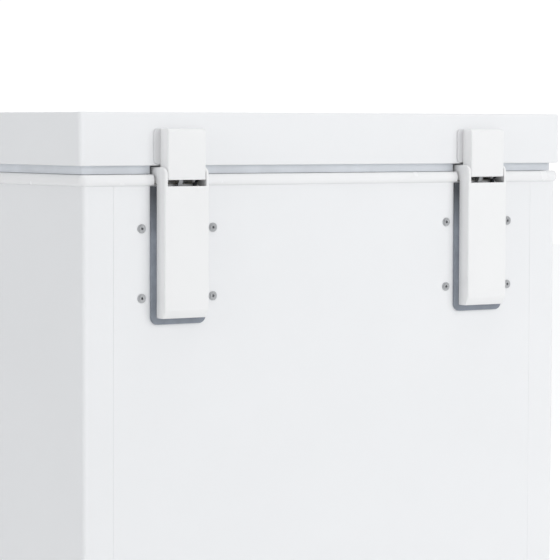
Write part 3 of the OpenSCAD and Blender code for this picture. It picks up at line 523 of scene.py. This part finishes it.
def lower_skin(name):
    lo, hi = box_mm(name)
    x0, x1, z0, top, tip = lo[0], hi[0], lo[2], hi[2], lo[1]
    back = rear_y + COVER_BACK
    outline = [(back, z0), (face_y - CHAMFER_Y, z0), (face_y, z0 + CHAMFER_Z)]
    outline += turn(face_y - EAR_R, top - EAR_R, EAR_R, 0, 90)
    outline += [(tip + EAR_CORNER, top), (tip, top - EAR_CORNER), (tip, EAR_STEP_Z), (back, EAR_STEP_Z)]
    obj = piece(name + "_skin", prism(outline, x0, x1, COVER_ROUND, back), "plastic", "cabinet")
    in0, in1 = x0 + WALL, x1 - WALL
    low_room = ((in0, back - LAP, z0 + WALL), (in1, face_y - CHAMFER_Y - LAP, z0 + CHAMFER_Z + 2 * LAP))
    main_room = ((in0, back - LAP, z0 + CHAMFER_Z + LAP), (in1, face_y - WALL, slot_z + LAP / 2))
    between_ears = ((x0 + EAR_T, tip - PAST, slot_z), (x1 - EAR_T, face_y + PAST, top + PAST))
    cut(obj, [low_room, main_room, between_ears])
    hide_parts(name)


def upper_skin(name):
    lo, hi = box_mm(name)
    x0, x1, z0, top, back = lo[0], hi[0], lo[2], hi[2], lo[1]
    crown = turn(face_y - UPPER_R, top - UPPER_R, UPPER_R, 0, 90, 5)
    outline = [(back, z0), (face_y, z0)] + crown + [(back, top)]
    obj = piece(name + "_skin", prism(outline, x0, x1, COVER_ROUND, back), "plastic", "lid")
    in0, in1 = x0 + WALL, x1 - WALL
    main_room = ((in0, back - PAST, z0 - PAST), (in1, face_y - WALL, top - CROWN))
    crown_room = ((in0, back - PAST, top - CROWN - LAP), (in1, face_y - CROWN, top - WALL))
    cut(obj, [main_room, crown_room])
    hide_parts(name)


for side in ("left", "right"):
    lower_skin("lower_cover_" + side)
    upper_skin("upper_cover_" + side)

# ---------- wire basket ----------

# Radii of the thin wires and the rim wire, and of the bends
WIRE = 1.6
RIM = 3.0
BEND = 12.0
RIM_BEND = 14.0
# How many wires run each way, and where the first of them stands
LONG_WIRES = 8
LONG_FIRST = 18.0
CROSS_WIRES = 13
CROSS_FIRST = 20.0
# The body hangs inside the rim; wire loops go round it at equal steps
HANGER = 13.5
INSET = 4.0
LOOP_STEP = 60.0
# How far out and how wide the rings at a wire's end are, as shares of its radius
END_RINGS = [(0.35, 0.6), (0.8, 0.25)]


def tube(bm, path, normal, r, closed=False, sides=10):
    """A round wire along a flat path; normal is square to the plane of the path."""
    pts = [Vector(p) for p in path]
    normal = Vector(normal)
    count = len(pts)
    rows = []
    for i, p in enumerate(pts):
        before = pts[i - 1] if (i or closed) else p
        after = pts[(i + 1) % count] if (i < count - 1 or closed) else p
        across = normal.cross((after - before).normalized())
        if not closed and i in (0, count - 1):
            out = (p - pts[1 if i == 0 else -2]).normalized()
            steps = END_RINGS if i == 0 else END_RINGS[::-1]
            cap = [(p - out * r * (1 - push), k) for k, push in steps]
            if i == 0:
                rows += [(c, k, across) for c, k in cap] + [(p - out * r, 1.0, across)]
            else:
                rows += [(p - out * r, 1.0, across)] + [(c, k, across) for c, k in cap]
        else:
            rows.append((p, 1.0, across))
    rings = []
    for p, k, across in rows:
        ring = []
        for j in range(sides):
            a = 2 * math.pi * j / sides
            ring.append(bm.verts.new((p + (across * math.cos(a) + normal * math.sin(a)) * r * k) * MM))
        rings.append(ring)
    pairs = list(zip(rings, rings[1:])) + ([(rings[-1], rings[0])] if closed else [])
    for a, b in pairs:
        for j in range(sides):
            q = (j + 1) % sides
            bm.faces.new((a[j], a[q], b[q], b[j]))
    if not closed:
        bm.faces.new(rings[0][::-1])
        bm.faces.new(rings[-1])


def u_path(a, b, top, bottom, r, steps=6):
    """Down, across and up again in two numbers per point, with round corners."""
    pts = [(a, top)]
    for cx, start in ((a + r, 180), (b - r, 270)):
        for i in range(steps + 1):
            t = math.radians(start + 90 * i / steps)
            pts.append((cx + r * math.cos(t), bottom + r + r * math.sin(t)))
    return pts + [(b, top)]


bk_lo, bk_hi = box_mm("basket")
rim_z = bk_hi[2] - RIM
bk_cx = (bk_lo[0] + bk_hi[0]) / 2
bk_cy = (bk_lo[1] + bk_hi[1]) / 2
bk_w = bk_hi[0] - bk_lo[0]
rim_d = bk_hi[1] - bk_lo[1]
body_dep = rim_d - 2 * HANGER
base_z = bk_lo[2] + WIRE
bm = bmesh.new()
rim_loop = [(bk_cx + x, y, rim_z) for x, y, z in
            rounded_loop(bk_w - 2 * RIM, rim_d - 2 * RIM, RIM_BEND, bk_cy, 0)]
tube(bm, rim_loop, (0, 0, 1), RIM, closed=True)
for z in (rim_z - INSET, base_z + 2 * LOOP_STEP, base_z + LOOP_STEP):
    loop = [(bk_cx + x, y, z) for x, y, q in rounded_loop(bk_w - 2 * INSET, body_dep, BEND, bk_cy, 0)]
    tube(bm, loop, (0, 0, 1), WIRE, closed=True)
for i in range(LONG_WIRES):
    x = bk_lo[0] + LONG_FIRST + i * (bk_w - 2 * LONG_FIRST) / (LONG_WIRES - 1)
    half = body_dep / 2 - 2 * WIRE
    tube(bm, [(x, y, z) for y, z in u_path(bk_cy - half, bk_cy + half, rim_z, base_z, BEND)], (1, 0, 0), WIRE)
    for s in (-1, 1):
        tube(bm, [(x, bk_cy + s * half, rim_z), (x, bk_cy + s * (rim_d / 2 - RIM), rim_z)], (1, 0, 0), WIRE)
for i in range(CROSS_WIRES):
    y = bk_cy - body_dep / 2 + CROSS_FIRST + i * (body_dep - 2 * CROSS_FIRST) / (CROSS_WIRES - 1)
    half = bk_w / 2 - INSET - 2 * WIRE
    path = [(x, y, z) for x, z in u_path(bk_cx - half, bk_cx + half, rim_z, base_z + 2 * WIRE, BEND)]
    tube(bm, path, (0, 1, 0), WIRE)
bmesh.ops.recalc_face_normals(bm, faces=bm.faces)
basket_mesh = bpy.data.meshes.new("basket_wires")
bm.to_mesh(basket_mesh)
bm.free()
basket = piece("basket_wires", basket_mesh, "wire", "basket")
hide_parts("basket")

# ---------- camera, light, floor ----------

def aim(obj, direction, roll=0.0):
    obj.rotation_euler = direction.to_track_quat("-Z", "Y").to_euler()
    obj.rotation_euler.rotate_axis("Z", roll)


# Camera place in metres and its turn, downward tilt and roll
CAMERA_PLACE = (1.6662, 2.5998, 0.8363)
YAW = math.radians(34.41)
PITCH = math.radians(3.31)
ROLL = math.radians(0.17)
LENS = 171.6
SENSOR = 36.0
FAR_CLIP = 60
cam_data = bpy.data.cameras.new("camera")
cam = bpy.data.objects.new("camera", cam_data)
bpy.context.scene.collection.objects.link(cam)
cam_data.sensor_width = SENSOR
cam_data.lens = LENS
cam_data.clip_end = FAR_CLIP
cam.location = CAMERA_PLACE
looking = Vector((-math.sin(YAW) * math.cos(PITCH), -math.cos(YAW) * math.cos(PITCH), -math.sin(PITCH)))
aim(cam, looking, ROLL)
bpy.context.scene.camera = cam


def softbox(name, place, target, size, power, shine=True):
    """A soft rectangular light in metres and watts; without shine it makes no mirror glare."""
    light = bpy.data.lights.new(name, "AREA")
    light.shape = "RECTANGLE"
    light.size, light.size_y = size
    light.energy = power
    lamp = bpy.data.objects.new(name, light)
    lamp.visible_glossy = shine
    lamp.location = place
    aim(lamp, Vector(target) - Vector(place))
    bpy.context.scene.collection.objects.link(lamp)


softbox("key", (-1.6, 3.4, 1.7), (0, 0.2, 0.6), (2.2, 2.2), 45, shine=False)
softbox("fill", (3.2, 0.8, 1.6), (0, 0, 0.5), (2.0, 2.0), 14)
softbox("front_fill", (-1.2, -3.0, 1.8), (0, 0, 0.5), (2.2, 2.2), 30)
softbox("top", (0, 0.2, 3.2), (0, 0, 0.5), (2.4, 2.4), 14)

# The camera sees a white background, and the object is lit by a dimmer one
SEEN_STRENGTH = 1.05
LIT_STRENGTH = 0.62
world = bpy.data.worlds.new("studio")
bpy.context.scene.world = world
world.use_nodes = True
wn, wl = world.node_tree.nodes, world.node_tree.links
seen = wn["Background"]
seen.inputs["Color"].default_value = (1, 1, 1, 1)
seen.inputs["Strength"].default_value = SEEN_STRENGTH
lit = wn.new("ShaderNodeBackground")
lit.inputs["Color"].default_value = (0.97, 0.985, 1.0, 1)
lit.inputs["Strength"].default_value = LIT_STRENGTH
path = wn.new("ShaderNodeLightPath")
mix = wn.new("ShaderNodeMixShader")
wl.new(path.outputs["Is Camera Ray"], mix.inputs["Fac"])
wl.new(lit.outputs["Background"], mix.inputs[1])
wl.new(seen.outputs["Background"], mix.inputs[2])
wl.new(mix.outputs["Shader"], wn["World Output"].inputs["Surface"])

# Half width of the floor in metres, and the glow that only the camera sees
FLOOR_HALF = 12
FLOOR_GLOW = 0.4
floor_mesh = bpy.data.meshes.new("floor")
bm = bmesh.new()
bmesh.ops.create_grid(bm, x_segments=8, y_segments=8, size=FLOOR_HALF)
bm.to_mesh(floor_mesh)
bm.free()
floor = bpy.data.objects.new("floor", floor_mesh)
bpy.context.scene.collection.objects.link(floor)
pale = surface("pale_floor", (0.93, 0.93, 0.93), 0.7, 0.05, grain=300.0, tint=0.99)
pale_nodes, pale_links = pale.node_tree.nodes, pale.node_tree.links
pale_bsdf = pale_nodes["Principled BSDF"]
pale_bsdf.inputs["Emission Color"].default_value = (1, 1, 1, 1)
direct = pale_nodes.new("ShaderNodeLightPath")
glow = pale_nodes.new("ShaderNodeMath")
glow.operation = "MULTIPLY"
glow.inputs[1].default_value = FLOOR_GLOW
pale_links.new(direct.outputs["Is Camera Ray"], glow.inputs[0])
pale_links.new(glow.outputs["Value"], pale_bsdf.inputs["Emission Strength"])
floor_mesh.materials.append(pale)

bpy.context.scene.view_settings.view_transform = "Standard"
bpy.context.scene.view_settings.look = "None"
